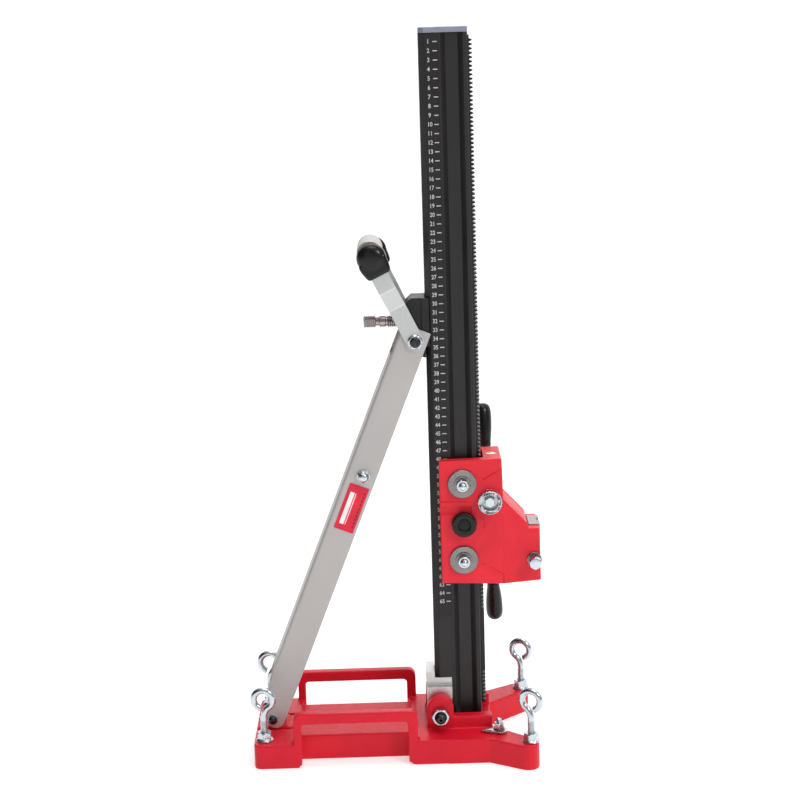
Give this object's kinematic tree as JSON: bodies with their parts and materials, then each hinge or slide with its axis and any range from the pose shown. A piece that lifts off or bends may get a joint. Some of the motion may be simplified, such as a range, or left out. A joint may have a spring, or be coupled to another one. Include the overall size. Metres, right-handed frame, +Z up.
{
  "type": "core drill rig",
  "caption": "Drill stand with a cast base, tilting toothed column, sliding roller carriage with a feed handle, rear brace and clamp lever.",
  "frame": {"origin": "on the floor, under the middle of the upright column's section, on the plane of symmetry", "axes": "+Z up along the upright column, +X towards the drilling side with the carriage's nose, +Y to the side with the feed handle"},
  "size_m": [0.341, 0.2284, 0.833],
  "materials": {
    "red_paint": "satin",
    "black_anodised": "satin",
    "ruler_print": "satin",
    "bright_zinc": "satin",
    "bare_steel": "satin",
    "black_oxide": "gloss",
    "blasted_aluminium": "satin",
    "grey_coat": "satin",
    "black_plastic": "gloss",
    "label_red": "gloss",
    "level_vial": "gloss"
  },
  "bodies": {
    "base": {"base_casting": "red_paint", "pivot_bolt": "black_oxide", "pivot_nut": "bright_zinc", "wall_stud": "bright_zinc", "pointer_screw": "bright_zinc", "lock_nut_front_near": "bright_zinc", "lock_nut_front_far": "bright_zinc", "lock_nut_rear_near": "bright_zinc", "lock_nut_rear_far": "bright_zinc"},
    "column": {"column_extrusion": "black_anodised", "ruler_strip": "ruler_print", "column_end_plate": "blasted_aluminium", "end_plate_screw_near": "bright_zinc", "end_plate_screw_far": "bright_zinc", "feed_rack": "bare_steel", "pivot_block": "blasted_aluminium", "pivot_block_screw_near": "black_oxide", "pivot_block_screw_far": "black_oxide"},
    "clamp": {"clamp_block": "black_anodised", "lever_pivot_bolt": "bright_zinc"},
    "shoe": {"clamp_shoe": "bare_steel"},
    "spindle": {"clamp_spindle": "bare_steel"},
    "brace": {"brace_channel": "grey_coat", "brace_cross_bolt": "bright_zinc", "brace_foot_bolt": "black_oxide", "brace_label": "label_red"},
    "lever": {"lever_frame": "bright_zinc", "lever_grip": "blasted_aluminium", "grip_cap_near": "black_plastic", "grip_cap_far": "black_plastic"},
    "carriage": {"carriage_casting": "red_paint", "bubble_level": "level_vial", "roller_axle_upper_near": "bright_zinc", "roller_axle_upper_far": "bright_zinc", "roller_axle_lower_near": "bright_zinc", "roller_axle_lower_far": "bright_zinc", "feed_bushing": "bare_steel", "motor_plate": "blasted_aluminium", "motor_clamp_washer": "bright_zinc"},
    "feed_drive": {"feed_pinion": "bare_steel", "feed_handle": "bright_zinc", "feed_grip_lower": "black_plastic", "feed_grip_upper": "black_plastic"},
    "slow_drive": {"slow_feed_pinion": "bright_zinc"},
    "lock": {"lock_plunger": "bare_steel", "lock_knob": "black_plastic"},
    "motor_bolt": {"motor_clamp_bolt": "bright_zinc"},
    "pointer": {"index_pointer": "bright_zinc"},
    "roller_upper_near": {"roller_upper_near": "bare_steel"},
    "roller_upper_far": {"roller_upper_far": "bare_steel"},
    "roller_lower_near": {"roller_lower_near": "bare_steel"},
    "roller_lower_far": {"roller_lower_far": "bare_steel"},
    "pad_front_near": {"level_pad_front_near": "bright_zinc"},
    "eye_front_near": {"eye_screw_front_near": "bright_zinc"},
    "pad_front_far": {"level_pad_front_far": "bright_zinc"},
    "eye_front_far": {"eye_screw_front_far": "bright_zinc"},
    "pad_rear_near": {"level_pad_rear_near": "bright_zinc"},
    "eye_rear_near": {"eye_screw_rear_near": "bright_zinc"},
    "pad_rear_far": {"level_pad_rear_far": "bright_zinc"},
    "eye_rear_far": {"eye_screw_rear_far": "bright_zinc"}
  },
  "joints": [
    {"name": "column_tilt", "type": "hinge", "parent": "base", "child": "column", "pos_m": [-0.0224, 0, 0.047], "axis": [0, -1, 0], "range_deg": [0, 45]},
    {"name": "clamp_slide", "type": "slide", "parent": "column", "child": "clamp", "axis": [0, 0, 1], "range_m": [0, 0.161]},
    {"name": "brace_swing", "type": "hinge", "parent": "clamp", "child": "brace", "pos_m": [-0.0395, 0, 0.486], "axis": [0, -1, 0], "range_deg": [0, 6]},
    {"name": "lever_swing", "type": "hinge", "parent": "clamp", "child": "lever", "pos_m": [-0.0395, 0, 0.486], "axis": [0, -1, 0], "range_deg": [-20, 95]},
    {"name": "shoe_advance", "type": "slide", "parent": "clamp", "child": "shoe", "axis": [-1, 0, 0], "range_m": [0, 0.003]},
    {"name": "spindle_turn", "type": "hinge", "parent": "shoe", "child": "spindle", "pos_m": [-0.06, 0, 0.5062], "axis": [-1, 0, 0], "range_deg": [0, 541]},
    {"name": "carriage_feed", "type": "slide", "parent": "column", "child": "carriage", "axis": [0, 0, 1], "range_m": [-0.07, 0.47]},
    {"name": "feed_turn", "type": "hinge", "parent": "carriage", "child": "feed_drive", "pos_m": [0.046, 0, 0.246], "axis": [0, -1, 0], "range_deg": [-269, 1797]},
    {"name": "slow_turn", "type": "hinge", "parent": "carriage", "child": "slow_drive", "pos_m": [0.04045, 0, 0.2998], "axis": [0, -1, 0], "range_deg": [-447, 2994]},
    {"name": "roller_turn_upper_near", "type": "hinge", "parent": "carriage", "child": "roller_upper_near", "pos_m": [0.0095, -0.022, 0.321], "axis": [0, -1, 0], "range_deg": [-411, 2748]},
    {"name": "roller_turn_upper_far", "type": "hinge", "parent": "carriage", "child": "roller_upper_far", "pos_m": [0.0095, 0.022, 0.321], "axis": [0, -1, 0], "range_deg": [-411, 2748]},
    {"name": "roller_turn_lower_near", "type": "hinge", "parent": "carriage", "child": "roller_lower_near", "pos_m": [0.0095, -0.022, 0.231], "axis": [0, -1, 0], "range_deg": [-2748, 411]},
    {"name": "roller_turn_lower_far", "type": "hinge", "parent": "carriage", "child": "roller_lower_far", "pos_m": [0.0095, 0.022, 0.231], "axis": [0, -1, 0], "range_deg": [-2748, 411]},
    {"name": "lock_pull", "type": "slide", "parent": "carriage", "child": "lock", "axis": [0, -1, 0], "range_m": [0, 0.006], "stiffness_N_per_m": 800, "springref_m": -0.002},
    {"name": "motor_bolt_turn", "type": "hinge", "parent": "carriage", "child": "motor_bolt", "pos_m": [0.0905, 0, 0.229], "axis": [0, -1, 0], "continuous": true},
    {"name": "pointer_swing", "type": "hinge", "parent": "base", "child": "pointer", "pos_m": [0.0447, -0.057, 0.0313], "axis": [0, 0, 1], "range_deg": [0, 180]},
    {"name": "level_travel_front_near", "type": "slide", "parent": "base", "child": "pad_front_near", "axis": [0, 0, -1], "range_m": [0, 0.009]},
    {"name": "level_turn_front_near", "type": "hinge", "parent": "pad_front_near", "child": "eye_front_near", "pos_m": [0.08, -0.087, 0.04], "axis": [0, 0, -1], "range_deg": [0, 2161]},
    {"name": "level_travel_front_far", "type": "slide", "parent": "base", "child": "pad_front_far", "axis": [0, 0, -1], "range_m": [0, 0.009]},
    {"name": "level_turn_front_far", "type": "hinge", "parent": "pad_front_far", "child": "eye_front_far", "pos_m": [0.08, 0.087, 0.04], "axis": [0, 0, -1], "range_deg": [0, 2161]},
    {"name": "level_travel_rear_near", "type": "slide", "parent": "base", "child": "pad_rear_near", "axis": [0, 0, -1], "range_m": [0, 0.009]},
    {"name": "level_turn_rear_near", "type": "hinge", "parent": "pad_rear_near", "child": "eye_rear_near", "pos_m": [-0.227, -0.058, 0.04], "axis": [0, 0, -1], "range_deg": [0, 2161]},
    {"name": "level_travel_rear_far", "type": "slide", "parent": "base", "child": "pad_rear_far", "axis": [0, 0, -1], "range_m": [0, 0.009]},
    {"name": "level_turn_rear_far", "type": "hinge", "parent": "pad_rear_far", "child": "eye_rear_far", "pos_m": [-0.226, 0.058, 0.04], "axis": [0, 0, -1], "range_deg": [0, 2161]}
  ],
  "couplings": [
    {"joint": "clamp_slide", "follows": "column_tilt", "m_per_rad": 0.2037},
    {"joint": "brace_swing", "follows": "column_tilt", "ratio": 0.1209},
    {"joint": "spindle_turn", "follows": "shoe_advance", "rad_per_m": 3141.6},
    {"joint": "feed_turn", "follows": "carriage_feed", "rad_per_m": 66.667},
    {"joint": "slow_turn", "follows": "carriage_feed", "rad_per_m": 111.11},
    {"joint": "roller_turn_upper_near", "follows": "carriage_feed", "rad_per_m": 102},
    {"joint": "roller_turn_upper_far", "follows": "carriage_feed", "rad_per_m": 102},
    {"joint": "roller_turn_lower_near", "follows": "carriage_feed", "rad_per_m": -102},
    {"joint": "roller_turn_lower_far", "follows": "carriage_feed", "rad_per_m": -102},
    {"joint": "level_turn_front_near", "follows": "level_travel_front_near", "rad_per_m": 4188.8},
    {"joint": "level_turn_front_far", "follows": "level_travel_front_far", "rad_per_m": 4188.8},
    {"joint": "level_turn_rear_near", "follows": "level_travel_rear_near", "rad_per_m": 4188.8},
    {"joint": "level_turn_rear_far", "follows": "level_travel_rear_far", "rad_per_m": 4188.8}
  ]
}
